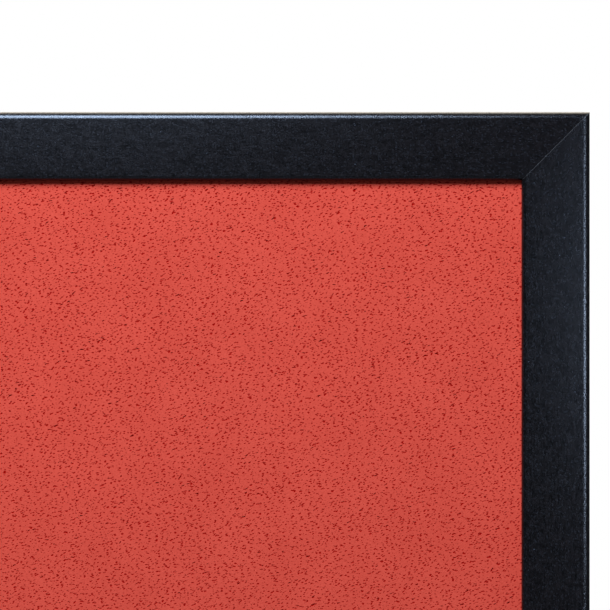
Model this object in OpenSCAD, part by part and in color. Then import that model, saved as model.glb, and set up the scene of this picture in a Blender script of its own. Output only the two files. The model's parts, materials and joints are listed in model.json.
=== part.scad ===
// Framed wall pad: a mitred aluminium channel frame holds a foam striking face,
// a foam core and a plywood backing board, and hooks onto two wall rails.
// The origin is the centre of the wall screw pattern on the wall plane.
// +X is to the right, +Z is up, and the striking face looks along -Y.

/* [Panel] */
// Width over the outer edges of the frame
panel_w = 610; // [560:1:1200]
// Height over the outer edges of the frame
panel_h = 457; // [450:1:1200]

/* [Frame profile] */
// Width of the frame's front face
face_w = 32; // [26:0.5:50]
// Thickness of the front plate
plate_t = 3; // [2.5:0.1:5]
// Thickness of the outer wall
wall_t = 2.2; // [1.6:0.1:3]
// Thickness of the two rear flanges
flange_t = 2; // [1.5:0.1:2.5]
// Reach of the rear flanges from the outer edge
flange_w = 16; // [14:0.5:20]
// Clear depth of the corner key channel
channel_d = 9; // [8:0.5:12]
// Radius of the outer front edge
outer_r = 3.8; // [1:0.1:3.9]
// Radius of the inner front edge
inner_r = 2; // [0.5:0.1:2.4]

/* [Pad] */
// Thickness of the striking face sheet
sheet_t = 5; // [3:0.5:10]
// Thickness of the foam core
core_t = 19.7; // [10:0.1:40]
// Thickness of the plywood backing board
board_t = 9; // [6:1:18]
// Play between the front plate and the face sheet
lip_gap = 0.3; // [0.2:0.1:1]
// Distance from the frame's outer edge to the edge of the pad
pack_inset = 4; // [4:0.5:8]

/* [Cleats] */
// Distance from the middle of the panel up or down to each row of wall screws
hole_z = 140; // [100:5:140]
// Distance from the middle of the panel out to the outer wall screws
hole_x = 200; // [100:5:205]
// Radius of the screw holes in both kinds of rail
hole_r = 2.75; // [2:0.05:3.5]
// Thickness of the rail section
cleat_t = 2; // [1.5:0.1:2.5]
// Height of the flange that is screwed down
cleat_flange = 24; // [18:1:30]
// Length of the hook below its web
hook_len = 12; // [8:1:14]
// Front to back play between two engaged hooks
hook_play = 0.4; // [0.2:0.1:1]

/* [Small parts] */
// Length of each leg of a corner key
key_leg = 60; // [55:1:90]
// Radius of a rubber bumper
bumper_r = 6; // [4:0.5:6.5]
// Height of a rubber bumper, which is the gap from the frame to the wall
bumper_t = 3; // [2:0.5:6]

/* [Hidden] */
$fn = 72;
over = 1; // how far a cutter runs past the face that it cuts

// Depths counted back from the frame's front face.
sheet_d = plate_t + lip_gap;
core_d = sheet_d + sheet_t;
board_d = core_d + core_t;
board_back_d = board_d + board_t;
key_d = board_back_d + flange_t;
frame_d = key_d + channel_d + flange_t;
front_y = -(frame_d + bumper_t);

// The pad and the board share one outline.
pack_w = panel_w - 2 * pack_inset;
pack_h = panel_h - 2 * pack_inset;

// Frame channel.
channel_lip = 2;
key_play = 0.3;
key_u = wall_t + key_play; // the set screws push each key in against the lips
key_w = flange_w - channel_lip - key_u;
key_t = channel_d - 2 * key_play;
key_y = front_y + key_d + channel_d / 2;
key_bore_r = 2.05;
set_screw_r = 2;
set_screw_len = 10;
set_screw_hex_r = 1.15;
set_screw_at = [26, 50]; // distances from the frame's outer corner

// Cleat rails. They share one section, turned half round on the wall.
standoff = frame_d + bumper_t - board_back_d;
hook_a = (standoff + hook_play) / 2;
panel_rail_len = panel_w - 90;
wall_rail_len = panel_w - 130;
hole_b = cleat_t + (cleat_flange - cleat_t) / 2;
seat_z = [hole_z + hook_len + hole_b, -hole_z + hook_len + hole_b];
tip_chamfer = 0.5;

// Machine screws that hold the panel rails, and the nuts behind them.
rail_screw_x = [for (k = [-1, -1/3, 1/3, 1]) k * (panel_rail_len / 2 - 45)];
rail_screw_r = 2.4;
rail_screw_len = board_t + cleat_t - 1; // stops just short of the core
rail_head_r = 4.7;
rail_head_t = 3.2;
nut_barrel_r = 3.2;
nut_flange_r = 9.5;
nut_flange_t = 1.2;
nut_play = 0.1;

// Bumpers sit on the back flange, this far from the frame's corners.
bumper_from_corner = 70;
bumper_u = 9;
bumper_step = 1;

SIDES = ["top", "right", "bottom", "left"];
CORNERS = [["top_right", 1, 1], ["bottom_right", 1, -1],
           ["bottom_left", -1, -1], ["top_left", -1, 1]];
NODES = ["frame_top", "frame_right", "frame_bottom", "frame_left",
         "corner_key_top_right", "corner_key_bottom_right",
         "corner_key_bottom_left", "corner_key_top_left", "corner_set_screws",
         "face_sheet", "foam_core", "backing_board",
         "tee_nuts", "panel_rail_upper", "panel_rail_lower", "panel_rail_screws",
         "bumper_top_left", "bumper_top_right",
         "bumper_right_upper", "bumper_right_lower",
         "bumper_bottom_right", "bumper_bottom_left",
         "bumper_left_lower", "bumper_left_upper",
         "wall_rail_upper", "wall_rail_lower"];
node = "all";

function shown(name) = node == "all" || node == name;
function side_len(i) = i % 2 == 0 ? panel_w : panel_h;
function side_half(i) = (i % 2 == 0 ? panel_h : panel_w) / 2;

// Puts a piece drawn for the top side, with its outer edge on z = 0 and its
// front face on y = 0, onto side i, counted clockwise as seen from the front.
module on_side(i) {
  rotate([0, 90 * i, 0]) translate([0, front_y, side_half(i)]) children();
}

// Mirrors a piece drawn for the upper right corner into the given quarter.
module in_quarter(sx, sz) {
  mirror([sx < 0 ? 1 : 0, 0, 0]) mirror([0, 0, sz < 0 ? 1 : 0]) children();
}

// Extrudes an outline drawn in x and z back from y0 over a depth t.
module slab(y0, t) {
  translate([0, y0 + t, 0]) rotate([90, 0, 0]) linear_extrude(t) children();
}

// Turns an upright cylinder so that it runs back along +Y from its base.
module bore_y(r, y0, t) {
  translate([0, y0, 0]) rotate([-90, 0, 0]) cylinder(r = r, h = t);
}

// What is cut off a square corner to leave a quarter round of radius r.
module round_off(r) {
  difference() {
    translate([-over, -over]) square(r + over);
    translate([r, r]) circle(r);
  }
}

// Frame section: x runs in from the outer edge, y runs back from the front.
module frame_section() {
  difference() {
    union() {
      square([face_w, plate_t]);
      square([wall_t, frame_d]);
      square([outer_r, outer_r]);
      translate([0, board_back_d]) square([flange_w, flange_t]);
      translate([0, frame_d - flange_t]) square([flange_w, flange_t]);
      for (d = [board_back_d, frame_d - 2 * flange_t])
        translate([flange_w - channel_lip, d]) square([channel_lip, 2 * flange_t]);
    }
    round_off(outer_r);
    translate([face_w, 0]) mirror([1, 0]) round_off(inner_r);
  }
}

// One frame rail for the top side, mitred at both ends.
module frame_rail(len) {
  intersection() {
    rotate([0, 90, 0]) linear_extrude(len, center = true) frame_section();
    slab(-over, frame_d + 2 * over)
      polygon([[-len / 2, 0], [len / 2, 0],
               [len / 2 - face_w, -face_w], [-len / 2 + face_w, -face_w]]);
  }
}

// Stands children at each set screw of the upper right corner, a distance u in
// from the outer edge, with +Z pointing towards the middle of the panel.
module at_set_screws(u) {
  for (s = set_screw_at) {
    translate([panel_w / 2 - s, key_y, panel_h / 2 - u]) rotate([180, 0, 0]) children();
    translate([panel_w / 2 - u, key_y, panel_h / 2 - s]) rotate([0, -90, 0]) children();
  }
}

// L-shaped key in the channel of the upper right corner, against its lips.
module corner_key() {
  color("silver") difference() {
    slab(key_y - key_t / 2, key_t)
      translate([panel_w / 2 - key_u, panel_h / 2 - key_u]) union() {
        translate([-key_leg, -key_w]) square([key_leg, key_w]);
        translate([-key_w, -key_leg]) square([key_w, key_leg]);
      }
    at_set_screws(key_u - over) cylinder(r = key_bore_r, h = key_w + 2 * over);
  }
}

// Headless hex socket screw, its tip on z = 0 against the outer wall.
module set_screw() {
  socket = 2;
  difference() {
    cylinder(r = set_screw_r, h = set_screw_len);
    translate([0, 0, set_screw_len - socket])
      cylinder(r = set_screw_hex_r, h = socket + over, $fn = 6);
  }
}

module corner_set_screws() {
  color("dimgray") for (c = CORNERS) in_quarter(c[1], c[2]) at_set_screws(wall_t) set_screw();
}

// A flat sheet of the pad's outline, from depth d back over thickness t.
module pack_layer(d, t) {
  translate([-pack_w / 2, front_y + d, -pack_h / 2]) cube([pack_w, t, pack_h]);
}

module face_sheet() { color("indianred") pack_layer(sheet_d, sheet_t); }

module foam_core() { color("whitesmoke") pack_layer(core_d, core_t); }

// Stands children at each of the screws that hold the panel rails.
module at_rail_screws() {
  for (z = seat_z, x = rail_screw_x) translate([x, 0, z + hole_b]) children();
}

module backing_board() {
  y0 = front_y + board_d;
  color("burlywood") difference() {
    pack_layer(board_d, board_t);
    at_rail_screws() {
      bore_y(nut_barrel_r + nut_play, y0 - over, board_t + 2 * over);
      bore_y(nut_flange_r + nut_play, y0 - over, nut_flange_t + nut_play + over);
    }
  }
}

module tee_nuts() {
  y0 = front_y + board_d + nut_play;
  barrel = board_t - 2 * nut_play;
  color("silver") at_rail_screws() difference() {
    union() {
      bore_y(nut_flange_r, y0, nut_flange_t);
      bore_y(nut_barrel_r, y0, barrel);
    }
    bore_y(rail_screw_r + nut_play, y0 - over, barrel + 2 * over);
  }
}

// Cleat section: x runs out from the face that is screwed down, and y runs up
// from the underside of the web, which is what the hook hangs by.
module cleat_section() {
  outer = hook_a + cleat_t;
  polygon([[0, 0], [hook_a, 0], [hook_a, tip_chamfer - hook_len],
           [hook_a + tip_chamfer, -hook_len], [outer - tip_chamfer, -hook_len],
           [outer, tip_chamfer - hook_len], [outer, cleat_t], [cleat_t, cleat_t],
           [cleat_t, cleat_flange], [0, cleat_flange]]);
}

// A length of cleat with its underside on z = 0 and its back on y = 0.
module cleat(len, holes) {
  color("silver") difference() {
    rotate([90, 0, 90]) linear_extrude(len, center = true) cleat_section();
    for (x = holes) translate([x, 0, hole_b]) bore_y(hole_r, -over, cleat_t + 2 * over);
  }
}

module panel_rail(pair) {
  translate([0, front_y + board_back_d, seat_z[pair]]) cleat(panel_rail_len, rail_screw_x);
}

// The same section turned half round about X, so that its hook points up.
module wall_rail(pair) {
  translate([0, 0, seat_z[pair] - hook_len]) rotate([180, 0, 0])
    cleat(wall_rail_len, [-hole_x, 0, hole_x]);
}

// Pan head machine screw with a cross recess, through the rail into its nut.
module rail_screw() {
  seat_y = front_y + board_back_d + cleat_t;
  crown = 1;
  slot_w = 1.1;
  slot_l = 5.4;
  slot_t = 1.8;
  difference() {
    union() {
      bore_y(rail_screw_r, seat_y - rail_screw_len, rail_screw_len + over);
      bore_y(rail_head_r, seat_y, rail_head_t - crown);
      translate([0, seat_y + rail_head_t - crown, 0]) rotate([-90, 0, 0])
        cylinder(r1 = rail_head_r, r2 = rail_head_r - crown, h = crown);
    }
    for (a = [0, 90]) rotate([0, a, 0])
      translate([-slot_l / 2, seat_y + rail_head_t - slot_t, -slot_w / 2])
        cube([slot_l, slot_t + over, slot_w]);
  }
}

module panel_rail_screws() { color("gray") at_rail_screws() rail_screw(); }

// A bumper on side i, towards one end of it, with its crown on the wall plane.
module bumper(i, way) {
  color("dimgray") on_side(i)
    translate([way * (side_len(i) / 2 - bumper_from_corner), frame_d, -bumper_u])
      rotate([-90, 0, 0]) {
        cylinder(r = bumper_r, h = bumper_t - bumper_step);
        translate([0, 0, bumper_t - bumper_step])
          cylinder(r1 = bumper_r, r2 = bumper_r - bumper_step, h = bumper_step);
      }
}

for (i = [0:3])
  if (shown(str("frame_", SIDES[i])))
    color([0.1, 0.11, 0.13]) on_side(i) frame_rail(side_len(i));
for (c = CORNERS)
  if (shown(str("corner_key_", c[0]))) in_quarter(c[1], c[2]) corner_key();
if (shown("corner_set_screws")) corner_set_screws();
if (shown("face_sheet")) face_sheet();
if (shown("foam_core")) foam_core();
if (shown("backing_board")) backing_board();
if (shown("tee_nuts")) tee_nuts();
if (shown("panel_rail_upper")) panel_rail(0);
if (shown("panel_rail_lower")) panel_rail(1);
if (shown("panel_rail_screws")) panel_rail_screws();
if (shown("bumper_top_left")) bumper(0, -1);
if (shown("bumper_top_right")) bumper(0, 1);
if (shown("bumper_right_upper")) bumper(1, -1);
if (shown("bumper_right_lower")) bumper(1, 1);
if (shown("bumper_bottom_right")) bumper(2, -1);
if (shown("bumper_bottom_left")) bumper(2, 1);
if (shown("bumper_left_lower")) bumper(3, -1);
if (shown("bumper_left_upper")) bumper(3, 1);
if (shown("wall_rail_upper")) wall_rail(0);
if (shown("wall_rail_lower")) wall_rail(1);
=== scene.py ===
"""A framed wall pad: satin black mitred frame, porous red face, and the hook rails that hold it.

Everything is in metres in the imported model's frame: +X right, +Z up, the face looks along -Y.
"""
import json
import math
import random

import bmesh
import bpy
from mathutils import Matrix, Vector, noise
from mathutils.geometry import delaunay_2d_cdt


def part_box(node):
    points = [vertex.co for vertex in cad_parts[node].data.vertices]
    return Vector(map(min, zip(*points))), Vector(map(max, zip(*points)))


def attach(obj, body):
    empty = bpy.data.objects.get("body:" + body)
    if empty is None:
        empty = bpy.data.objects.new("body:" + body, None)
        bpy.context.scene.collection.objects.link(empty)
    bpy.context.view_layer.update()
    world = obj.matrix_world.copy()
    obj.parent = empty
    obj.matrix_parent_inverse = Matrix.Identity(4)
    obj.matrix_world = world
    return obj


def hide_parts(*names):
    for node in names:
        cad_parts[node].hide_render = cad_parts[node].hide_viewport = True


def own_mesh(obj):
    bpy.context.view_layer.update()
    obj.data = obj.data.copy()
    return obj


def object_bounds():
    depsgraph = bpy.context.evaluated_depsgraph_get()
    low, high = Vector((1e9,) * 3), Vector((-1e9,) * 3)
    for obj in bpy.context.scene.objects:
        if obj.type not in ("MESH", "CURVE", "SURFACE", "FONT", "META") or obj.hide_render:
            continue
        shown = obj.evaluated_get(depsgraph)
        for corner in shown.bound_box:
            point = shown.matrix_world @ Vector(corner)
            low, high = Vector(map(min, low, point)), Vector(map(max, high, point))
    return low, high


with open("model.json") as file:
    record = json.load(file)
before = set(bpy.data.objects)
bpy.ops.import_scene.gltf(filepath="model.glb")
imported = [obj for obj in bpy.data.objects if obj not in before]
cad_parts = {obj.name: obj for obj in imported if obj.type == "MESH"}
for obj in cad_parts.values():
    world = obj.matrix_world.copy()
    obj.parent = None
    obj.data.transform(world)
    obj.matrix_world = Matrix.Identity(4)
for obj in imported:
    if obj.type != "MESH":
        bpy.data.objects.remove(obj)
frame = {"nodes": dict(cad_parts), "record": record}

MM = 0.001
cad_low, cad_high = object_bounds()

# ---------------------------------------------------------------- the frame's section
# Distances in from the outer edge and back from the front face, as in the CAD model.
FACE_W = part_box("frame_right")[1].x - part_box("frame_right")[0].x
FRONT_Y, FRAME_BACK_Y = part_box("frame_top")[0].y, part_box("frame_top")[1].y
FRAME_D = FRAME_BACK_Y - FRONT_Y
BOARD_BACK_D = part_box("backing_board")[1].y - FRONT_Y
HALF_W, HALF_H = cad_high.x, cad_high.z
PLATE_T = 3 * MM
WALL_T = 2.2 * MM
FLANGE_T = 2 * MM
FLANGE_W = 16 * MM
OUTER_R = 3.8 * MM
INNER_R = 2 * MM
SOFT_EDGE = 0.35 * MM  # extruded and coated corners are never sharp
MITRE_CUT = 0.06 * MM  # bare chamfer left where the saw went through the coat

# ---------------------------------------------------------------- the view
VIEW_WIDTH = 0.2840  # width of the view at the frame's front face
CORNER_RIGHT = 0.1331  # the panel's upper right corner, from the middle of the view
CORNER_UP = 0.0902
LENS, SENSOR = 100, 36

# Pores too small to cut, painted in the rubber's colour as spots of shade: slant, shift, spacing, and the
# least and the greatest radius, which is then drawn out along the slant and narrowed across it.
PORE_STRETCH = 1.50
PORE_LAYERS = ((0.60, 0.31, 2.54 * MM, 0.10 * MM, 0.50 * MM),
               (0.30, 0.77, 2.05 * MM, 0.10 * MM, 0.44 * MM),
               (0.02, 0.53, 2.64 * MM, 0.10 * MM, 0.48 * MM))


# ================================================================ mesh helpers
ARC_STEPS_PER_MM = 5
ROUND_STEPS = 40  # steps round a drilled hole, a nut or a screw head
SHARP_OVER = 35  # degrees between faces that meet at a hard edge


def rounded_outline(corners):
    """A closed outline from (x, y, radius) corners, each turned into an arc."""
    outline = []
    count = len(corners)
    for i, (x, y, radius) in enumerate(corners):
        here = Vector((x, y))
        before = (Vector(corners[i - 1][:2]) - here).normalized()
        after = (Vector(corners[(i + 1) % count][:2]) - here).normalized()
        if radius == 0:
            outline.append(here)
            continue
        half = before.angle(after) / 2
        middle = here + (before + after).normalized() * (radius / math.sin(half))
        start = here + before * (radius / math.tan(half)) - middle
        end = here + after * (radius / math.tan(half)) - middle
        turn = start.angle_signed(end)
        pieces = round(ARC_STEPS_PER_MM * radius / MM) if radius > MM else 3
        for k in range(pieces + 1):
            angle = -turn * k / pieces
            outline.append(middle + Matrix.Rotation(angle, 2) @ start)
    return outline


def inset(outline, by):
    """The outline moved inwards by a small distance, corner by corner."""
    area = sum(a.cross(b) for a, b in zip(outline, outline[1:] + outline[:1]))
    side = 1 if area > 0 else -1
    moved = []
    for before, here, after in zip(outline[-1:] + outline[:-1], outline, outline[1:] + outline[:1]):
        along = ((here - before).normalized() + (after - here).normalized()).normalized()
        moved.append(here + Vector((-along.y, along.x)) * side * by)
    return moved


def add_ring(bm, points):
    return [bm.verts.new(p) for p in points]


def bridge(bm, ring, other):
    """Joins two rings of equal length with quads."""
    count = len(ring)
    for i in range(count):
        bm.faces.new((ring[i], ring[(i + 1) % count], other[(i + 1) % count], other[i]))


def circle(radius, y, turns=ROUND_STEPS):
    """Points round the Y axis."""
    angles = [2 * math.pi * k / turns for k in range(turns)]
    return [(radius * math.cos(a), y, radius * math.sin(a)) for a in angles]


def lathe(bm, outline, turns=ROUND_STEPS, loop=False):
    """Adds a solid of revolution about +Y.

    The outline is (radius, y) pairs: a line from the axis to the axis, or a loop clear of it.
    """
    rings = []
    for radius, y in outline:
        if radius == 0:
            rings.append([bm.verts.new((0, y, 0))])
        else:
            rings.append(add_ring(bm, circle(radius, y, turns)))
    pairs = list(zip(rings, rings[1:]))
    if loop:
        pairs.append((rings[-1], rings[0]))
    for ring, other in pairs:
        for k in range(turns):
            a, b = ring[k % len(ring)], ring[(k + 1) % turns % len(ring)]
            c, d = other[(k + 1) % turns % len(other)], other[k % len(other)]
            corners = list(dict.fromkeys((a, b, c, d)))
            if len(corners) > 2:
                bm.faces.new(corners)


def finish_mesh(bm, name, smooth_under=SHARP_OVER):
    """Turns bm into a mesh, smooth but for edges over an angle in degrees. 0 leaves it all flat."""
    bmesh.ops.recalc_face_normals(bm, faces=bm.faces)
    mesh = bpy.data.meshes.new(name)
    bm.to_mesh(mesh)
    bm.free()
    if smooth_under:
        mesh.polygons.foreach_set("use_smooth", [True] * len(mesh.polygons))
        mesh.set_sharp_from_angle(angle=math.radians(smooth_under))
    return mesh


def solid_from_rings(bm, rings):
    """Joins equal rings one after another and closes both ends."""
    for ring, other in zip(rings, rings[1:]):
        bridge(bm, ring, other)
    bm.faces.new(rings[0])
    bm.faces.new(rings[-1])


def new_object(name, mesh):
    piece = bpy.data.objects.new(name, mesh)
    bpy.context.scene.collection.objects.link(piece)
    return piece


def place(name, mesh, body, slot, materials, *nodes):
    """Puts a finished mesh in the scene on its body, in place of the CAD nodes that it stands for."""
    piece = new_object(name, mesh)
    for material in materials:
        mesh.materials.append(material)
    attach(piece, body)
    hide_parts(*nodes)
    return piece


def joined(mesh, places, name):
    """One mesh made of copies of mesh, one at each matrix."""
    bm = bmesh.new()
    for matrix in places:
        copy = mesh.copy()
        copy.transform(matrix)
        bm.from_mesh(copy)
        bpy.data.meshes.remove(copy)
    return finish_mesh(bm, name)


def cut(mesh, cutter, name):
    """mesh less cutter, both closed meshes, by an exact boolean."""
    solid, tool = new_object("solid", mesh), new_object("tool", cutter)
    boolean = solid.modifiers.new("cut", "BOOLEAN")
    boolean.operation = "DIFFERENCE"
    boolean.solver = "EXACT"
    boolean.object = tool
    depsgraph = bpy.context.evaluated_depsgraph_get()
    result = bpy.data.meshes.new_from_object(solid.evaluated_get(depsgraph))
    bpy.data.objects.remove(solid)
    bpy.data.objects.remove(tool)
    result.name = name
    result.polygons.foreach_set("use_smooth", [True] * len(result.polygons))
    result.set_sharp_from_angle(angle=math.radians(SHARP_OVER))
    return result


# ================================================================ material helpers
class Look:
    """A material's node tree, with short calls for the nodes that the materials here share."""

    def __init__(self, name, metallic=0.0, specular=0.5):
        self.material = bpy.data.materials.new(name)
        self.material.use_nodes = True
        self.nodes = self.material.node_tree.nodes
        self.links = self.material.node_tree.links
        self.shader = self.nodes["Principled BSDF"]
        self.shader.inputs["Metallic"].default_value = metallic
        self.shader.inputs["Specular IOR Level"].default_value = specular
        self.place = self.nodes.new("ShaderNodeTexCoord").outputs["Object"]

    def put(self, value, socket):
        """Links one socket to another, or sets a constant."""
        if isinstance(value, bpy.types.NodeSocket):
            self.links.new(value, socket)
        else:
            socket.default_value = value

    def stretched(self, scale, turn=0.0, shift=(0, 0, 0)):
        """Object coordinates, scaled on each axis, turned about Y and shifted."""
        node = self.nodes.new("ShaderNodeMapping")
        node.vector_type = "POINT"
        node.inputs["Rotation"].default_value = (0, turn, 0)
        node.inputs["Scale"].default_value = scale
        node.inputs["Location"].default_value = shift
        self.put(self.place, node.inputs["Vector"])
        return node.outputs["Vector"]

    def noise(self, scale, detail=2.0, vector=None, roughness=0.5, distortion=0.0, colour=False):
        node = self.nodes.new("ShaderNodeTexNoise")
        node.inputs["Scale"].default_value = scale
        node.inputs["Detail"].default_value = detail
        node.inputs["Roughness"].default_value = roughness
        node.inputs["Distortion"].default_value = distortion
        self.put(vector or self.place, node.inputs["Vector"])
        return node.outputs["Color" if colour else "Fac"]

    def cells(self, scale, vector=None, dimensions="3D"):
        """Distance to the nearest of scattered points, and a random colour for each."""
        node = self.nodes.new("ShaderNodeTexVoronoi")
        node.voronoi_dimensions = dimensions
        node.inputs["Scale"].default_value = scale
        self.put(vector or self.place, node.inputs["Vector"])
        return node.outputs["Distance"], node.outputs["Color"]

    def front_plane(self, source):
        """The given coordinates seen from the front: across, up, and nothing."""
        apart, together = self.nodes.new("ShaderNodeSeparateXYZ"), self.nodes.new("ShaderNodeCombineXYZ")
        self.put(source, apart.inputs[0])
        self.put(apart.outputs["X"], together.inputs["X"])
        self.put(apart.outputs["Z"], together.inputs["Y"])
        return together.outputs[0]

    def cast(self, source, size, slant, shift=0.0):
        """Flat coordinates in units of size, a pair, whose first axis is slanted up by an angle."""
        node = self.nodes.new("ShaderNodeMapping")
        node.vector_type = "TEXTURE"
        node.inputs["Location"].default_value = (shift, shift, 0)
        node.inputs["Rotation"].default_value = (0, 0, slant)
        node.inputs["Scale"].default_value = (*size, 1)
        self.put(source, node.inputs["Vector"])
        return node.outputs["Vector"]

    def sway(self, source, scale, reach):
        """Coordinates pushed about by a noise."""
        push = self.nodes.new("ShaderNodeVectorMath")
        push.operation = "MULTIPLY_ADD"
        self.put(self.noise(scale, 2, source, colour=True), push.inputs[0])
        push.inputs[1].default_value = (reach, reach, reach)
        self.put(source, push.inputs[2])
        return push.outputs[0]

    def math(self, operation, a, b=0.0):
        node = self.nodes.new("ShaderNodeMath")
        node.operation = operation
        for value, socket in zip((a, b), node.inputs):
            self.put(value, socket)
        return node.outputs[0]

    def total(self, *shares):
        """The sum of (value, weight) pairs."""
        parts = [self.math("MULTIPLY", value, weight) for value, weight in shares]
        result = parts[0]
        for part in parts[1:]:
            result = self.math("ADD", result, part)
        return result

    def ramp(self, value, low, high, to_low=0.0, to_high=1.0, smooth=True):
        """Value taken from low..high to to_low..to_high, held at both ends."""
        node = self.nodes.new("ShaderNodeMapRange")
        node.interpolation_type = "SMOOTHSTEP" if smooth else "LINEAR"
        for socket, number in zip(("Value", "From Min", "From Max", "To Min", "To Max"),
                                  (value, low, high, to_low, to_high)):
            self.put(number, node.inputs[socket])
        return node.outputs["Result"]

    def mix(self, share, a, b):
        """A colour between a and b."""
        node = self.nodes.new("ShaderNodeMix")
        node.data_type = "RGBA"
        self.put(share, node.inputs["Factor"])
        for value, socket in ((a, node.inputs[6]), (b, node.inputs[7])):
            self.put((*value, 1) if isinstance(value, tuple) else value, socket)
        return node.outputs[2]

    def split(self, colour):
        node = self.nodes.new("ShaderNodeSeparateColor")
        self.put(colour, node.inputs["Color"])
        return node.outputs

    def attribute(self, name):
        node = self.nodes.new("ShaderNodeAttribute")
        node.attribute_name = name
        return node.outputs["Fac"]

    def bump(self, height, distance, strength=1.0):
        node = self.nodes.new("ShaderNodeBump")
        node.inputs["Strength"].default_value = strength
        node.inputs["Distance"].default_value = distance
        self.put(height, node.inputs["Height"])
        return node.outputs["Normal"]

    def brushed(self, along, amount):
        """Stretches reflections across the lines of a surface drawn along an axis."""
        across = self.nodes.new("ShaderNodeVectorMath")
        across.operation = "CROSS_PRODUCT"
        self.put(self.nodes.new("ShaderNodeNewGeometry").outputs["Normal"], across.inputs[0])
        across.inputs[1].default_value = along
        self.shader.inputs["Anisotropic"].default_value = amount
        self.put(across.outputs[0], self.shader.inputs["Tangent"])

    def done(self, colour, roughness, normal=None):
        """Completes the shader and returns the material."""
        self.put(colour, self.shader.inputs["Base Color"])
        self.put(roughness, self.shader.inputs["Roughness"])
        if normal is not None:
            self.put(normal, self.shader.inputs["Normal"])
        return self.material


# ================================================================ materials
# Heights of the materials' relief
COAT_RELIEF = RUBBER_RELIEF = 0.25 * MM
SAWN_RELIEF = 0.03 * MM
FOAM_RELIEF = 0.3 * MM
PLY_RELIEF = CAST_RELIEF = 0.12 * MM
BRUSHED_RELIEF = 0.04 * MM
MOULDED_RELIEF = 0.06 * MM


def frame_coat(name, along):
    """Satin black powder coat: orange peel, faint lines along the bar, paler flecks that paint in its glints,
    rare specks.
    """
    look = Look(name, specular=0.30)
    if along == "x":
        line, drawn, drawn_share, glint_shape = (1, 0, 0), (0.20, 1, 1), 0.15, (0.5, 1, 1)
    else:
        line, drawn, drawn_share, glint_shape = (0, 0, 1), (1, 1, 0.20), 0.30, (1, 1, 0.5)
    look.brushed(line, 0.70)
    lines = look.noise(1500, 3, look.stretched(drawn), 0.6)
    peel = look.noise(1800, 3, roughness=0.7)
    grit = look.noise(3200, 2, roughness=0.6)
    patches = look.noise(420, 3, look.stretched((0.5, 1, 1), 0.35), roughness=0.6)
    height = look.total((peel, 0.60), (grit, 0.30), (lines, drawn_share))
    normal = look.bump(height, COAT_RELIEF, 0.45)
    distance, chance = look.cells(420)
    rare = look.ramp(look.split(chance)[0], 0.90, 0.98)
    speck = look.math("MULTIPLY", look.ramp(distance, 0.03, 0.085, 1, 0), rare)
    mottle = look.total((grit, 0.5), (peel, 0.35), (patches, 0.15))
    mottle = look.mix(drawn_share, mottle, lines)
    ground = look.mix(look.ramp(mottle, 0.42, 0.60), (0.0009, 0.0006, 0.0006), (0.0092, 0.0063, 0.0061))
    # painted glints: small paler flecks, mixed into the colour below, stand in for the sparkle of light off
    # the coat
    distance, chance = look.cells(1500, look.stretched(glint_shape))
    brightness = look.ramp(look.split(chance)[0], 0.15, 1)
    painted_glints = look.math("MULTIPLY", look.ramp(distance, 0.15, 0.50, 1, 0), brightness)
    ground = look.mix(painted_glints, ground, (0.0142, 0.0142, 0.0162))
    colour = look.mix(speck, ground, (0.17, 0.19, 0.22))
    return look.done(colour, look.ramp(mottle, 0.40, 0.62, 0.16, 0.27), normal)


def bare_cut():
    """Sawn aluminium at the mitres."""
    look = Look("bare_cut", metallic=1.0)
    grain = look.noise(5200, 2)
    colour = look.mix(look.ramp(grain, 0.3, 0.7), (0.20, 0.19, 0.18), (0.42, 0.40, 0.37))
    return look.done(colour, look.ramp(grain, 0.3, 0.7, 0.5, 0.7), look.bump(grain, SAWN_RELIEF))


def face_rubber():
    """Red cellular rubber: painted shade on the cut pores' walls, smaller pores painted between them as spots
    of shade with a painted highlight round each, a fine grain and slow changes of tone.
    """
    look = Look("face_rubber", specular=0.02)
    flat = look.front_plane(look.place)
    bent = look.sway(look.sway(flat, 120, 1.2 * MM), 1500, 0.12 * MM)
    pores, painted_rim_light = None, None
    for slant, shift, cell, small, large in PORE_LAYERS:
        spread = look.cast(bent, (cell * PORE_STRETCH, cell / PORE_STRETCH), slant, shift)
        distance, chance = look.cells(1, spread, "2D")
        radius = look.ramp(look.split(chance)[0], 0, 1, small / cell, large / cell, smooth=False)
        share = look.math("DIVIDE", distance, radius)
        # each spot is painted shade for a pore too small to cut; the ring round it is a painted highlight
        # where its lip would catch light
        pore_shade, rim = look.ramp(share, 0.75, 1.05, 1, 0), look.ramp(share, 1.0, 2.0, 1, 0)
        pores = pore_shade if pores is None else look.math("MAXIMUM", pores, pore_shade)
        painted_rim_light = rim if painted_rim_light is None else look.math("MAXIMUM", painted_rim_light, rim)
    tone = look.noise(45, 3)
    ground = look.mix(look.ramp(tone, 0.3, 0.7), (0.662, 0.0685, 0.0372), (0.702, 0.0757, 0.0413))
    grain = look.noise(1100, 4, roughness=0.7)
    streaks = look.noise(1, 3, look.cast(bent, (1.3 * MM, 0.45 * MM), 0.30), 0.65)
    ground = look.mix(look.ramp(grain, 0.25, 0.75, 0, 0.30), ground, (0.53, 0.041, 0.020))
    ground = look.mix(look.ramp(streaks, 0.40, 0.66, 0, 0.34), ground, (0.46, 0.030, 0.014))
    # painted highlight: a lighter ring round each painted pore
    ground = look.mix(look.math("MULTIPLY", painted_rim_light, 0.25), ground, (0.78, 0.088, 0.050))
    # painted shade: the small pores' spots darkened to a deep red
    colour = look.mix(pores, ground, (0.34, 0.0020, 0.0004))
    # painted shade on the cut pores' walls, full at their floors
    colour = look.mix(look.attribute("pit_shade"), colour, (0.38, 0.0020, 0.0004))
    height = look.math("SUBTRACT", look.total((grain, 0.3), (streaks, -0.5)), pores)
    return look.done(colour, look.ramp(grain, 0.3, 0.7, 0.72, 0.86), look.bump(height, RUBBER_RELIEF, 0.6))


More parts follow.
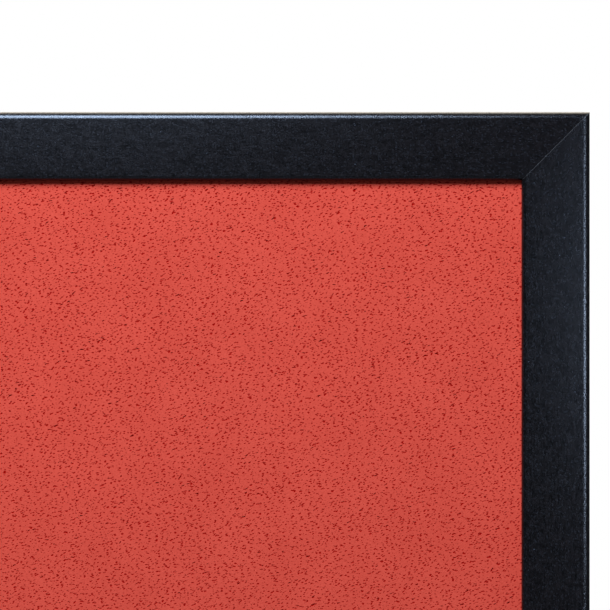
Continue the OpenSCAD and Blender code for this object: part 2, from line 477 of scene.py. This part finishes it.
def core_foam():
    """Pale closed cell foam."""
    look = Look("core_foam", specular=0.3)
    distance, chance = look.cells(900)
    cell = look.ramp(distance, 0.1, 0.6)
    colour = look.mix(cell, (0.60, 0.61, 0.60), (0.74, 0.74, 0.71))
    roughness = look.ramp(look.split(chance)[0], 0, 1, 0.75, 0.95)
    return look.done(colour, roughness, look.bump(cell, FOAM_RELIEF, 0.5))


def plywood():
    """Sanded birch plywood with its face grain along X."""
    look = Look("plywood", specular=0.35)
    sway = look.noise(6, 2, look.stretched((1, 1, 3)))
    figure = look.noise(34, 5, look.stretched((0.10, 1, 1)), 0.62, 0.6)
    rings = look.math("SINE", look.math("MULTIPLY", look.total((figure, 1), (sway, 0.35)), 42))
    fibre = look.noise(1500, 4, look.stretched((0.025, 1, 1)), 0.65)
    fleck = look.noise(700, 2, look.stretched((0.05, 1, 1), shift=(5, 0, 9)))
    tone = look.total((look.ramp(rings, -1, 1), 0.35), (fibre, 0.65))
    colour = look.mix(look.ramp(tone, 0.3, 0.75), (0.60, 0.415, 0.235), (0.735, 0.56, 0.36))
    colour = look.mix(look.ramp(fleck, 0.66, 0.74, 0, 0.5), colour, (0.36, 0.21, 0.10))
    height = look.total((fibre, 1), (fleck, -0.4))
    return look.done(colour, look.ramp(fibre, 0.3, 0.7, 0.52, 0.68), look.bump(height, PLY_RELIEF, 0.5))


def brushed_metal(name, colour, other, low, high, along=(1, 1, 1), scale=2400):
    """Metal with a fine texture, drawn out into lines where along is small, and a slow change of tone."""
    look = Look(name, metallic=1.0)
    lines = look.noise(scale, 3, look.stretched(along), 0.6)
    tone = look.noise(30, 4, roughness=0.6)
    both = look.total((lines, 0.5), (tone, 0.5))
    return look.done(look.mix(look.ramp(both, 0.35, 0.65), colour, other),
                     look.ramp(both, 0.35, 0.65, low, high), look.bump(lines, BRUSHED_RELIEF, 0.6))


def cast_metal():
    """Grey cast metal with a sandy grain."""
    look = Look("corner_key", metallic=1.0)
    grain = look.noise(1600, 4, roughness=0.7)
    tone = look.noise(120, 3)
    colour = look.mix(look.ramp(tone, 0.3, 0.7), (0.42, 0.43, 0.44), (0.56, 0.57, 0.58))
    return look.done(colour, look.ramp(grain, 0.3, 0.7, 0.42, 0.62), look.bump(grain, CAST_RELIEF, 0.6))


def bumper_rubber():
    """Black moulded rubber with a little dust."""
    look = Look("bumper_rubber", specular=0.4)
    grain = look.noise(2600, 3, roughness=0.7)
    dust = look.noise(500, 3)
    colour = look.mix(look.ramp(dust, 0.45, 0.8), (0.018, 0.018, 0.019), (0.05, 0.05, 0.05))
    return look.done(colour, look.ramp(grain, 0.3, 0.7, 0.55, 0.75), look.bump(grain, MOULDED_RELIEF, 0.6))


coat = {"x": frame_coat("frame_coat_x", "x"), "z": frame_coat("frame_coat_z", "z")}
bare = bare_cut()
rubber = face_rubber()
foam = core_foam()
wood = plywood()
mill = brushed_metal("rail_aluminium", (0.66, 0.67, 0.69), (0.80, 0.81, 0.82), 0.30, 0.44, along=(0.02, 1, 1))
zinc = brushed_metal("zinc_plate", (0.55, 0.57, 0.60), (0.72, 0.72, 0.70), 0.22, 0.36, scale=900)
black_oxide = brushed_metal("set_screw", (0.020, 0.020, 0.022), (0.045, 0.044, 0.045), 0.34, 0.5, scale=1200)
key_metal = cast_metal()
moulded = bumper_rubber()


# ================================================================ the frame
def frame_section():
    """The extrusion's outline as (in from the outer edge, back from the front face)."""
    back, lip = BOARD_BACK_D, FLANGE_W - FLANGE_T
    soft, wall = SOFT_EDGE, WALL_T
    mouth_a, mouth_b = back + 2 * FLANGE_T, FRAME_D - 2 * FLANGE_T
    return rounded_outline([
        (0, 0, OUTER_R), (0, FRAME_D, soft), (FLANGE_W, FRAME_D, soft), (FLANGE_W, mouth_b, soft),
        (lip, mouth_b, soft), (lip, FRAME_D - FLANGE_T, soft), (wall, FRAME_D - FLANGE_T, soft),
        (wall, back + FLANGE_T, soft), (lip, back + FLANGE_T, soft), (lip, mouth_a, soft),
        (FLANGE_W, mouth_a, soft), (FLANGE_W, back, soft), (wall, back, soft),
        (wall, PLATE_T, soft), (FACE_W, PLATE_T, soft), (FACE_W, 0, INNER_R)])


def frame_bar(name, side):
    """One bar, mitred at both ends, with a bare chamfer round each sawn end.

    It is made as the top bar and then turned, a quarter clockwise for each side.
    """
    half = HALF_W if side % 2 == 0 else HALF_H
    reach = HALF_H if side % 2 == 0 else HALF_W
    outline = frame_section()
    tip = inset(outline, MITRE_CUT)
    bm = bmesh.new()
    rings = []
    for way in (-1, 1):
        ends = [(tip, 0.0), (outline, MITRE_CUT)]
        for points, short in ends if way < 0 else reversed(ends):
            ring = [(way * (half - u - short), FRONT_Y + d, reach - u) for u, d in points]
            rings.append(add_ring(bm, ring))
    solid_from_rings(bm, rings)
    bm.verts.index_update()
    for face in bm.faces:  # the coat is on the faces between the two full rings
        rows = {v.index // len(outline) for v in face.verts}
        face.material_index = 0 if rows == {1, 2} else 1
    mesh = finish_mesh(bm, name)
    mesh.transform(Matrix.Rotation(math.pi / 2 * side, 4, "Y"))
    return mesh


def make_frame():
    for side, word in enumerate(("top", "right", "bottom", "left")):
        node = "frame_" + word
        along = "x" if side % 2 == 0 else "z"
        mesh = frame_bar(node + "_bar", side)
        place(node + "_bar", mesh, "panel", "frame_coat", [coat[along], bare], node)


# ================================================================ the striking face
FACE_LOW, FACE_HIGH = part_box("face_sheet")
OPEN_W, OPEN_H = HALF_W - FACE_W, HALF_H - FACE_W  # half the opening inside the frame
SHEET_STEPS = (60, 44)  # across and up its rim
PORE_GAP = 0.07 * MM  # least rubber left between two pores
PORE_MARGIN = 2 * MM  # pores carry on this far under the frame's front plate
LIP_PRESS = 0.12 * MM  # how far the front plate presses the sheet's rim back
LIP_REACH = 24 * MM  # with the frame's width added, how far in from the sheet's edge that fades out
LARGE_PORES, SMALL_PORES = 3450, 8800
PIT_RIM_SHADE = 0.9  # how much painted shade a pore's wall already has at its rim, where 1 is its floor


def face_front(x, z):
    """The front of the sheet, pressed back a little near its rim."""
    rim = min(FACE_HIGH.x - abs(x), FACE_HIGH.z - abs(z))
    share = min(1, max(0, rim / (LIP_REACH + HALF_W - OPEN_W)))
    return FACE_LOW.y + LIP_PRESS * (1 - share * share * (3 - 2 * share))


def pore(rng, x, z, large):
    """A pore's rim, the line along its bottom, its depth, and circles that cover it.

    The bottom line is under the pore's middle line.
    """
    bend = noise.noise(Vector((x * 90, z * 90, 3.0)))
    slant = math.radians(18 + 16 * bend + rng.gauss(0, 12))
    if large:
        size = rng.betavariate(1.2, 2.6)
        length, width = (0.44 + 0.80 * size) * MM, (0.160 + 0.19 * size) * MM
        stops, floor = (-0.62, 0.0, 0.62), (-0.5, 0.5)
        curve = rng.uniform(-0.35, 0.35)
    else:
        length, width = rng.uniform(0.28, 0.60) * MM, rng.uniform(0.13, 0.215) * MM
        stops, floor = (-0.45, 0.45), (0.0,)
        curve = rng.uniform(-0.2, 0.2)
    ahead, across = Vector((math.cos(slant), math.sin(slant))), Vector((-math.sin(slant), math.cos(slant)))

    def at(t, side):
        return Vector((x, z)) + ahead * (t * length) + across * (curve * length * (t * t - 0.4) + side)

    upper = [at(t, width * (1 - t * t) ** 0.5 * rng.uniform(0.7, 1.25)) for t in stops]
    lower = [at(t, -width * (1 - t * t) ** 0.5 * rng.uniform(0.7, 1.25)) for t in stops]
    rim = [at(-1, 0)] + lower + [at(1, 0)] + upper[::-1]
    line = [at(t, 0) for t in floor]
    depth = min(1.0 * MM, rng.uniform(1.5, 3.0) * width)
    return rim, line, depth, [(at(t, 0), width * 1.2) for t in (-1, -0.5, 0, 0.5, 1)]


def scatter_pores():
    """Pores over the opening, closer together in drifts, none touching another."""
    rng = random.Random(41)
    cell = 1.6 * MM  # the grid in which a pore's neighbours are looked up
    taken, pores = {}, []

    def free(rounds):
        for at, radius in rounds:
            i, j = int(at.x // cell), int(at.y // cell)
            for a in (i - 1, i, i + 1):
                for b in (j - 1, j, j + 1):
                    for other, reach in taken.get((a, b), ()):
                        if (at - other).length < radius + reach + PORE_GAP:
                            return False
        return True

    half_w, half_h = OPEN_W + PORE_MARGIN, OPEN_H + PORE_MARGIN
    for large, wanted in ((True, LARGE_PORES), (False, SMALL_PORES)):
        made = 0
        while made < wanted:
            x, z = rng.uniform(-half_w, half_w), rng.uniform(-half_h, half_h)
            drift = 0.5 + 0.9 * noise.noise(Vector((x * 70, z * 120, 8.0)))
            if rng.random() > drift:
                continue
            rim, line, depth, rounds = pore(rng, x, z, large)
            if not free(rounds):
                continue
            for at, radius in rounds:
                taken.setdefault((int(at.x // cell), int(at.y // cell)), []).append((at, radius))
            pores.append((rim, line, depth))
            made += 1
    return pores


def rectangle(half_w, half_h, steps_w, steps_h):
    """Points round a rectangle, anticlockwise from its lower left corner."""
    corners = [(-half_w, -half_h), (half_w, -half_h), (half_w, half_h), (-half_w, half_h)]
    points = []
    for k, steps in enumerate((steps_w, steps_h, steps_w, steps_h)):
        start, end = Vector(corners[k]), Vector(corners[(k + 1) % 4])
        points += [start.lerp(end, s / steps) for s in range(steps)]
    return points


def face_mesh(name):
    """The whole sheet: pierced front, softly rounded cut edges, plain back."""
    pores = scatter_pores()
    edge, waist = 0.6 * MM, 0.3 * MM
    half_w, half_h = FACE_HIGH.x, FACE_HIGH.z
    points = rectangle(half_w - edge, half_h - edge, *SHEET_STEPS)
    outlines = [list(range(len(points)))]
    for rim, _, _ in pores:
        outlines.append(list(range(len(points), len(points) + len(rim))))
        points += rim
    verts, _, faces, came_from, _, owners = delaunay_2d_cdt(points, [], outlines, 1, 1e-7)

    # The front, with a hole for each pore
    bm = bmesh.new()
    # how much painted shade each corner of a pore's wall gets
    pit_shade = bm.loops.layers.float.new("pit_shade")
    made, index_of = [], {}
    for i, at in enumerate(verts):
        made.append(bm.verts.new((at.x, face_front(at.x, at.y), at.y)))
        for source in came_from[i]:
            index_of[source] = i
    for face, owner in zip(faces, owners):
        if not any(o > 0 for o in owner):
            bm.faces.new([made[i] for i in face])

    # Each pore's walls, down to its bottom line, with a mask of painted shade that darkens them towards the
    # floor
    for outline, (rim, line, depth) in zip(outlines[1:], pores):
        ring = [made[index_of[i]] for i in outline]
        floor = [bm.verts.new((at.x, face_front(at.x, at.y) + depth, at.y)) for at in line]
        half = len(ring) // 2
        for side in (ring[:half + 1], ring[:1] + ring[:half - 1:-1]):
            walls = [(side[k], side[k + 1], floor[0 if k < half / 2 else -1]) for k in range(half)]
            if len(floor) > 1:
                walls.append((side[half // 2], floor[0], floor[-1]))
            for corners in walls:
                for loop in bm.faces.new(corners).loops:
                    loop[pit_shade] = 1.0 if loop.vert in floor else PIT_RIM_SHADE

    # The cut edges and the back
    loops = [[made[index_of[i]] for i in outlines[0]]]
    thick = FACE_HIGH.y - FACE_LOW.y
    for pull, y in ((0.0, LIP_PRESS + edge), (waist, thick / 2), (0.0, thick - edge), (edge, thick)):
        around = rectangle(half_w - pull, half_h - pull, *SHEET_STEPS)
        loops.append(add_ring(bm, [(p.x, FACE_LOW.y + y, p.y) for p in around]))
    for ring, other in zip(loops, loops[1:]):
        bridge(bm, ring, other)
    bm.faces.new(loops[-1])
    return finish_mesh(bm, name, smooth_under=0)


def make_face():
    mesh = face_mesh("face_sheet_porous")
    sheet = place("face_sheet_porous", mesh, "face", "face_rubber", [rubber], "face_sheet")


# ================================================================ the pad behind it
SLAB_STEPS = (80, 60)  # across and up its rim
SLAB_LAYERS = 10
RIPPLE = 0.15 * MM  # how uneven the knife left the foam's sides


def soft_slab(name, low, high, edge, pull):
    """A cut block of foam: crisp faces, rounded edges, sides drawn in between its corners."""
    half_w, half_h, thick = high.x, high.z, high.y - low.y
    bm = bmesh.new()
    rings = []
    for k in range(SLAB_LAYERS + 1):
        t = k / SLAB_LAYERS
        y = low.y + thick * t
        inward = pull * math.sin(math.pi * t)
        rim = min(t, 1 - t) * thick
        if rim < edge:
            inward += edge - math.sqrt(edge * edge - (edge - rim) ** 2)
        around = rectangle(half_w - inward, half_h - inward, *SLAB_STEPS)
        ripple = [RIPPLE * noise.noise(Vector((p.x * 60, y * 900, p.y * 60))) for p in around]
        rings.append(add_ring(bm, [(p.x * (1 - abs(r) / half_w), y, p.y * (1 - abs(r) / half_h))
                                   for p, r in zip(around, ripple)]))
    solid_from_rings(bm, rings)
    return finish_mesh(bm, name)


def make_core():
    low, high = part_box("foam_core")
    core = place("foam_core_block", soft_slab("foam_core_block", low, high, 1.2 * MM, 0.5 * MM),
                 "panel", "core_foam", [foam], "foam_core")
    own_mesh(core)


# ================================================================ hardware positions
HEAD_R = 4.7 * MM
screw_low, screw_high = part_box("panel_rail_screws")
SCREWS = [(share * (screw_high.x - HEAD_R), z)
          for z in (screw_high.z - HEAD_R, screw_low.z + HEAD_R) for share in (-1, -1 / 3, 1 / 3, 1)]
NUT_BORE_R, NUT_BARREL_R, NUT_FLANGE_R = 2.5 * MM, 3.2 * MM, 9.5 * MM
NUT_FLANGE_T = 1.2 * MM


def at_screws():
    return [Matrix.Translation((x, 0, z)) for x, z in SCREWS]


def cylinder(radius, y0, y1, turns):
    bm = bmesh.new()
    lathe(bm, [(0, y0), (radius, y0), (radius, y1), (0, y1)], turns)
    return finish_mesh(bm, "cylinder", 0)


def make_board():
    """Plywood with its saw-cut edges broken, drilled and counterbored for the nuts."""
    low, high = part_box("backing_board")
    broken = 0.5 * MM
    bm = bmesh.new()
    rings = []
    for pull, y in ((broken, low.y), (0, low.y + broken), (0, high.y - broken), (broken, high.y)):
        rings.append(add_ring(bm, [(p.x, y, p.y) for p in rectangle(high.x - pull, high.z - pull, 1, 1)]))
    solid_from_rings(bm, rings)
    slab = finish_mesh(bm, "slab", 0)
    play, over = 0.1 * MM, 1 * MM
    bm = bmesh.new()
    seat = low.y + NUT_FLANGE_T + play
    wide, narrow = NUT_FLANGE_R + play, NUT_BARREL_R + play
    start, end = low.y - over, high.y + over
    outline = [(0, start), (wide, start), (wide, seat), (narrow, seat), (narrow, end), (0, end)]
    lathe(bm, outline)
    drill = joined(finish_mesh(bm, "drill", 0), at_screws(), "drills")
    mesh = cut(slab, drill, "backing_board_ply")
    place("backing_board_ply", mesh, "panel", "plywood", [wood], "backing_board")


def make_nuts():
    """Tee nuts: a pressed flange with a rolled barrel."""
    low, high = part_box("tee_nuts")
    bend, soft, thin = 0.5 * MM, 0.2 * MM, 0.1 * MM
    flange_top = low.y + NUT_FLANGE_T
    bm = bmesh.new()
    lathe(bm, [(NUT_BORE_R + bend, low.y), (NUT_FLANGE_R - soft, low.y), (NUT_FLANGE_R, low.y + soft),
               (NUT_FLANGE_R, flange_top - soft), (NUT_FLANGE_R - soft, flange_top),
               (NUT_BARREL_R, flange_top), (NUT_BARREL_R, high.y - soft), (NUT_BARREL_R - soft, high.y),
               (NUT_BORE_R + thin, high.y), (NUT_BORE_R, high.y - thin), (NUT_BORE_R, low.y + bend)],
          loop=True)
    mesh = joined(finish_mesh(bm, "nut"), at_screws(), "tee_nuts_pressed")
    place("tee_nuts_pressed", mesh, "panel", "zinc_plate", [zinc], "tee_nuts")


def threaded(bm, root, crest, y0, y1, pitch, turns):
    """Adds a threaded rod about +Y from y0 to y1: a helical ridge that fades out at both ends.

    The end at y1 is left open, and its ring is what the call returns.
    """
    per_turn = 4
    rows = math.ceil((y1 - y0) / pitch * per_turn)
    rings = []
    for row in range(rows + 1):
        y = y0 + (y1 - y0) * row / rows
        fade = min(1, row / per_turn, (rows - row) / per_turn)
        points = []
        for k in range(turns):
            angle = 2 * math.pi * k / turns
            wave = abs(((y / pitch - k / turns) % 1) * 2 - 1)
            radius = root + (crest - root) * wave * fade
            points.append((radius * math.cos(angle), y, radius * math.sin(angle)))
        rings.append(add_ring(bm, points))
    for ring, other in zip(rings, rings[1:]):
        bridge(bm, ring, other)
    bm.faces.new(rings[0])
    return rings[-1]


def make_rail_screws():
    """Pan head screws with a cross recess and a real thread."""
    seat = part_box("panel_rail_upper")[0].y + CLEAT_T
    tip, top = screw_low.y, screw_high.y
    shank_r, edge_r = 2.4 * MM, 4.45 * MM
    bm = bmesh.new()
    neck = threaded(bm, 2.0 * MM, shank_r, tip, seat - 0.4 * MM, 0.8 * MM, ROUND_STEPS)
    dome = [(shank_r, seat), (edge_r, seat), (HEAD_R, seat + 0.25 * MM), (HEAD_R, seat + 1.3 * MM),
            (edge_r, top - 1.0 * MM), (3.9 * MM, top - 0.5 * MM), (3.1 * MM, top - 0.2 * MM),
            (2.0 * MM, top - 0.03 * MM), (0.9 * MM, top)]
    for radius, y in dome:
        ring = add_ring(bm, circle(radius, y))
        bridge(bm, neck, ring)
        neck = ring
    bm.faces.new(neck)
    screw = finish_mesh(bm, "screw")

    # The cross recess, cut out of the head
    bm = bmesh.new()
    rings = []
    for wide, thin, y in ((1.2 * MM, 0.45 * MM, top - 1.8 * MM), (2.7 * MM, 0.55 * MM, top + 0.2 * MM)):
        points = []
        for turn in range(4):
            spin = Matrix.Rotation(math.pi / 2 * turn, 2)
            points += [spin @ Vector(p) for p in ((thin, -thin), (wide, -thin), (wide, thin))]
        rings.append(add_ring(bm, [(p.x, y, p.y) for p in points]))
    solid_from_rings(bm, rings)
    cross = finish_mesh(bm, "cross", 0)
    head = cut(screw, cross, "screw_cut")
    rng = random.Random(7)
    places = [m @ Matrix.Rotation(rng.uniform(0, math.pi), 4, "Y") for m in at_screws()]
    mesh = joined(head, places, "panel_rail_screws_pan")
    place("panel_rail_screws_pan", mesh, "panel", "zinc_plate", [zinc], "panel_rail_screws")


# ================================================================ hook rails
CLEAT_T = 2 * MM
HOLE_R = 2.75 * MM


def cleat_mesh(name, low, high, hooks_down, holes):
    """A Z-section rail with softened corners, deburred ends and drilled, deburred holes."""
    half_len = high.x
    height = high.z - low.z
    reach = high.y - low.y
    hook = 12 * MM
    soft, tip = 0.3 * MM, 0.6 * MM
    outline = rounded_outline([
        (0, 0, tip), (reach - CLEAT_T, 0, 0.4 * MM), (reach - CLEAT_T, -hook, tip), (reach, -hook, tip),
        (reach, CLEAT_T, tip), (CLEAT_T, CLEAT_T, tip), (CLEAT_T, height - hook, soft),
        (0, height - hook, soft)])
    burr = 0.2 * MM
    trimmed = inset(outline, burr)
    bm = bmesh.new()
    rings = []
    inner_len = half_len - burr
    for x, points in ((-half_len, trimmed), (-inner_len, outline), (inner_len, outline), (half_len, trimmed)):
        rings.append(add_ring(bm, [(x, out, up) for out, up in points]))
    solid_from_rings(bm, rings)
    bar = finish_mesh(bm, "bar")
    over, ease = 1 * MM, 0.25 * MM
    up = (CLEAT_T + height - hook) / 2
    bm = bmesh.new()
    eased_r, end = HOLE_R + ease, CLEAT_T + over
    lathe(bm, [(0, -over), (eased_r + over, -over), (eased_r, 0), (HOLE_R, ease), (HOLE_R, CLEAT_T - ease),
               (eased_r, CLEAT_T), (eased_r + over, end), (0, end)])
    drill = joined(finish_mesh(bm, "drill", 0), [Matrix.Translation((x, 0, up)) for x in holes], "drills")
    mesh = cut(bar, drill, name)
    if hooks_down:
        mesh.transform(Matrix.Translation((0, low.y, low.z + hook)))
    else:
        mesh.transform(Matrix.Translation((0, high.y, high.z - hook)) @ Matrix.Rotation(math.pi, 4, "X"))
    return mesh


def make_rails():
    panel_holes = sorted({x for x, _ in SCREWS})
    wall_screws = next(m for m in frame["record"]["mounts"] if m["name"] == "wall_screws")
    half = wall_screws["dims"]["spacing_x_mm"] / 2 * MM
    kinds = (("panel", "panel", True, panel_holes), ("wall", "wall_rails", False, (-half, 0, half)))
    for word in ("upper", "lower"):
        for kind, body, down, holes in kinds:
            node = f"{kind}_rail_{word}"
            low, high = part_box(node)
            mesh = cleat_mesh(node + "_drilled", low, high, down, holes)
            place(node + "_drilled", mesh, body, "rail_aluminium", [mill], node)


# ================================================================ corner keys and set screws
KEY_U = 2.5 * MM
SET_SCREW_AT = (26 * MM, 50 * MM)
SET_SCREW_LEN = 10 * MM
KEY_BORE_R = 2.05 * MM
CORNERS = {"top_right": (1, 1), "bottom_right": (1, -1), "bottom_left": (-1, -1), "top_left": (-1, 1)}


def in_corner(sx, sz):
    return Matrix.Diagonal((sx, 1, sz, 1))


def set_screw_places(u, y):
    """Where the upper right corner's set screws stand, their +Y pointing to the middle of the panel."""
    down = Matrix.Rotation(-math.pi / 2, 4, "X")
    left = Matrix.Rotation(math.pi / 2, 4, "Z")
    places = []
    for s in SET_SCREW_AT:
        places.append(Matrix.Translation((HALF_W - s, y, HALF_H - u)) @ down)
        places.append(Matrix.Translation((HALF_W - u, y, HALF_H - s)) @ left)
    return places


def make_keys():
    low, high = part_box("corner_key_top_right")
    leg = high.x - low.x
    width = FLANGE_W - FLANGE_T - KEY_U
    y = (low.y + high.y) / 2
    edge, bevel, over = 0.6 * MM, 0.5 * MM, 1 * MM
    corner = Vector((high.x, high.z))
    outline = rounded_outline([
        (0, 0, 1.5 * MM), (0, -leg, edge), (-width, -leg, edge),
        (-width, -width, 1.2 * MM), (-leg, -width, edge), (-leg, 0, edge)])
    slim = inset(outline, bevel)
    bm = bmesh.new()
    rings = []
    for points, depth in ((slim, low.y), (outline, low.y + bevel), (outline, high.y - bevel), (slim, high.y)):
        rings.append(add_ring(bm, [(corner.x + p.x, depth, corner.y + p.y) for p in points]))
    solid_from_rings(bm, rings)
    blank = finish_mesh(bm, "key_blank")
    bore = cylinder(KEY_BORE_R, -over, width + over, turns=32)
    bores = joined(bore, set_screw_places(KEY_U, y), "bores")
    key = cut(blank, bores, "key")
    for word, (sx, sz) in CORNERS.items():
        mesh = joined(key, [in_corner(sx, sz)], f"corner_key_{word}_cast")
        place(f"corner_key_{word}_cast", mesh, "panel", "corner_key", [key_metal], f"corner_key_{word}")


def make_set_screws():
    low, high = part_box("corner_key_top_right")
    y = (low.y + high.y) / 2
    turns, hexagon, socket = 24, 1.15 * MM, 2 * MM
    bm = bmesh.new()
    ring = threaded(bm, 1.65 * MM, 2.0 * MM, 0, SET_SCREW_LEN - 0.3 * MM, 0.7 * MM, turns)
    for radius in (1.7 * MM, 1.35 * MM):
        rim = add_ring(bm, circle(radius, SET_SCREW_LEN, turns))
        bridge(bm, ring, rim)
        ring = rim

    # The hexagon socket, from its mouth to its floor
    angles = [2 * math.pi * k / turns for k in range(turns)]
    for along in (SET_SCREW_LEN - 0.15 * MM, SET_SCREW_LEN - socket):
        flats = []
        for a in angles:
            from_flat = (a % (math.pi / 3)) - math.pi / 6
            radius = hexagon * math.cos(math.pi / 6) / math.cos(from_flat)
            flats.append((radius * math.cos(a), along, radius * math.sin(a)))
        rim = add_ring(bm, flats)
        bridge(bm, ring, rim)
        ring = rim
    bm.faces.new(ring)
    screw = finish_mesh(bm, "set_screw", smooth_under=25)
    places = [in_corner(sx, sz) @ m for sx, sz in CORNERS.values() for m in set_screw_places(WALL_T, y)]
    mesh = joined(screw, places, "corner_set_screws_socket")
    place("corner_set_screws_socket", mesh, "panel", "set_screw", [black_oxide], "corner_set_screws")


# ================================================================ bumpers
def make_bumpers():
    for node in sorted(n for n in frame["nodes"] if n.startswith("bumper_")):
        low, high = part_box(node)
        radius, tall = (high.x - low.x) / 2, high.y - low.y
        bm = bmesh.new()
        foot = [(0, low.y), (radius * 0.96, low.y), (radius, low.y + 0.15 * MM)]
        groove = [(radius, low.y + tall * 0.3), (radius * 0.985, low.y + tall * 0.36)]
        crown = [(radius * math.cos(a), low.y + tall * 0.45 + tall * 0.55 * math.sin(a))
                 for a in [math.pi / 2 * k / 8 for k in range(8)]]
        lathe(bm, [*foot, *groove, *crown, (0, high.y)], turns=48)
        mesh = finish_mesh(bm, node + "_domed")
        mesh.transform(Matrix.Translation(((low.x + high.x) / 2, 0, (low.z + high.z) / 2)))
        place(node + "_domed", mesh, "panel", "bumper_rubber", [moulded], node)


# ================================================================ camera, light and floor
def aim(thing, target):
    thing.rotation_euler = (Vector(target) - thing.location).to_track_quat("-Z", "Y").to_euler()


def make_camera():
    data = bpy.data.cameras.new("camera")
    data.lens, data.sensor_width = LENS, SENSOR
    camera = bpy.data.objects.new("camera", data)
    bpy.context.scene.collection.objects.link(camera)
    middle = Vector((HALF_W - CORNER_RIGHT, FRONT_Y, HALF_H - CORNER_UP))
    camera.location = middle - Vector((0, VIEW_WIDTH * LENS / SENSOR, 0))
    aim(camera, middle)
    bpy.context.scene.camera = camera
    return middle


def soft_box(name, location, target, size, watts, colour):
    """A rectangular area light; size is its width and height."""
    data = bpy.data.lights.new(name, "AREA")
    data.shape = "RECTANGLE"
    data.size, data.size_y = size
    data.energy = watts
    data.color = colour
    light = bpy.data.objects.new(name, data)
    bpy.context.scene.collection.objects.link(light)
    light.location = location
    aim(light, target)
    return light


def make_lights(middle):
    """A soft key from the upper left, two lights that add gloss only, and one behind."""
    soft_box("key", middle + Vector((-0.37, -1.17, 1.37)), middle, (0.70, 0.82), 93, (0.57, 0.73, 1.0))
    for name, offset, size, watts, colour in (
            ("edge", (1.13, -1.05, -0.05), (0.08, 0.26), 11.0, (0.58, 0.74, 1.0)),
            ("sheen", (0.85, -1.17, 0.07), (0.60, 0.20), 2.0, (0.52, 0.70, 1.0))):
        light = soft_box(name, middle + Vector(offset), middle, size, watts, colour)
        light.visible_diffuse = False
    soft_box("behind", Vector((0.15, 1.25, 1.70)), Vector((0.15, 0, 0)), (1.3, 1.8), 26, (1.0, 0.90, 0.74))


def make_world():
    """White to the camera, and a dim soft studio to everything else."""
    world = bpy.data.worlds.new("studio")
    bpy.context.scene.world = world
    world.use_nodes = True
    nodes, links = world.node_tree.nodes, world.node_tree.links
    seen = nodes["Background"]
    seen.inputs["Color"].default_value = (1, 1, 1, 1)
    light = nodes.new("ShaderNodeBackground")
    light.inputs["Color"].default_value = (0.90, 0.95, 1.0, 1)
    light.inputs["Strength"].default_value = 0.055
    path, mix = nodes.new("ShaderNodeLightPath"), nodes.new("ShaderNodeMixShader")
    links.new(path.outputs["Is Camera Ray"], mix.inputs[0])
    links.new(light.outputs[0], mix.inputs[1])
    links.new(seen.outputs[0], mix.inputs[2])
    links.new(mix.outputs[0], nodes["World Output"].inputs["Surface"])


def make_floor():
    """A pale disc under the panel that fades out towards its rim."""
    radius, fade = 1.15, 0.55
    bm = bmesh.new()
    bmesh.ops.create_circle(bm, cap_ends=True, segments=96, radius=radius)
    mesh = bpy.data.meshes.new("floor")
    bm.to_mesh(mesh)
    bm.free()
    floor = new_object("floor", mesh)
    floor.location = (0, 0, cad_low.z - 1 * MM)
    look = Look("floor", specular=0.2)
    length = look.nodes.new("ShaderNodeVectorMath")
    length.operation = "LENGTH"
    look.put(look.place, length.inputs[0])
    gone = look.ramp(length.outputs["Value"], fade, radius)
    under = look.nodes.new("ShaderNodeNewGeometry").outputs["Backfacing"]
    clear, mix = look.nodes.new("ShaderNodeBsdfTransparent"), look.nodes.new("ShaderNodeMixShader")
    look.put(look.math("MAXIMUM", gone, under), mix.inputs[0])
    look.put(look.shader.outputs[0], mix.inputs[1])
    look.put(clear.outputs[0], mix.inputs[2])
    look.put(mix.outputs[0], look.nodes["Material Output"].inputs["Surface"])
    seen = look.nodes.new("ShaderNodeLightPath").outputs["Is Camera Ray"]
    grain = look.noise(8, 3)
    pale = look.mix(grain, (0.80, 0.80, 0.79), (0.84, 0.84, 0.83))
    colour = look.mix(seen, (0.15, 0.15, 0.15), pale)  # dark to the panel, so that it throws little light up
    mesh.materials.append(look.done(colour, 0.9))


# ================================================================ the scene
view_middle = make_camera()
make_frame()
make_face()
make_core()
make_board()
make_nuts()
make_rail_screws()
make_rails()
make_keys()
make_set_screws()
make_bumpers()
make_lights(view_middle)
make_world()
make_floor()
bpy.context.scene.view_settings.view_transform = "Standard"
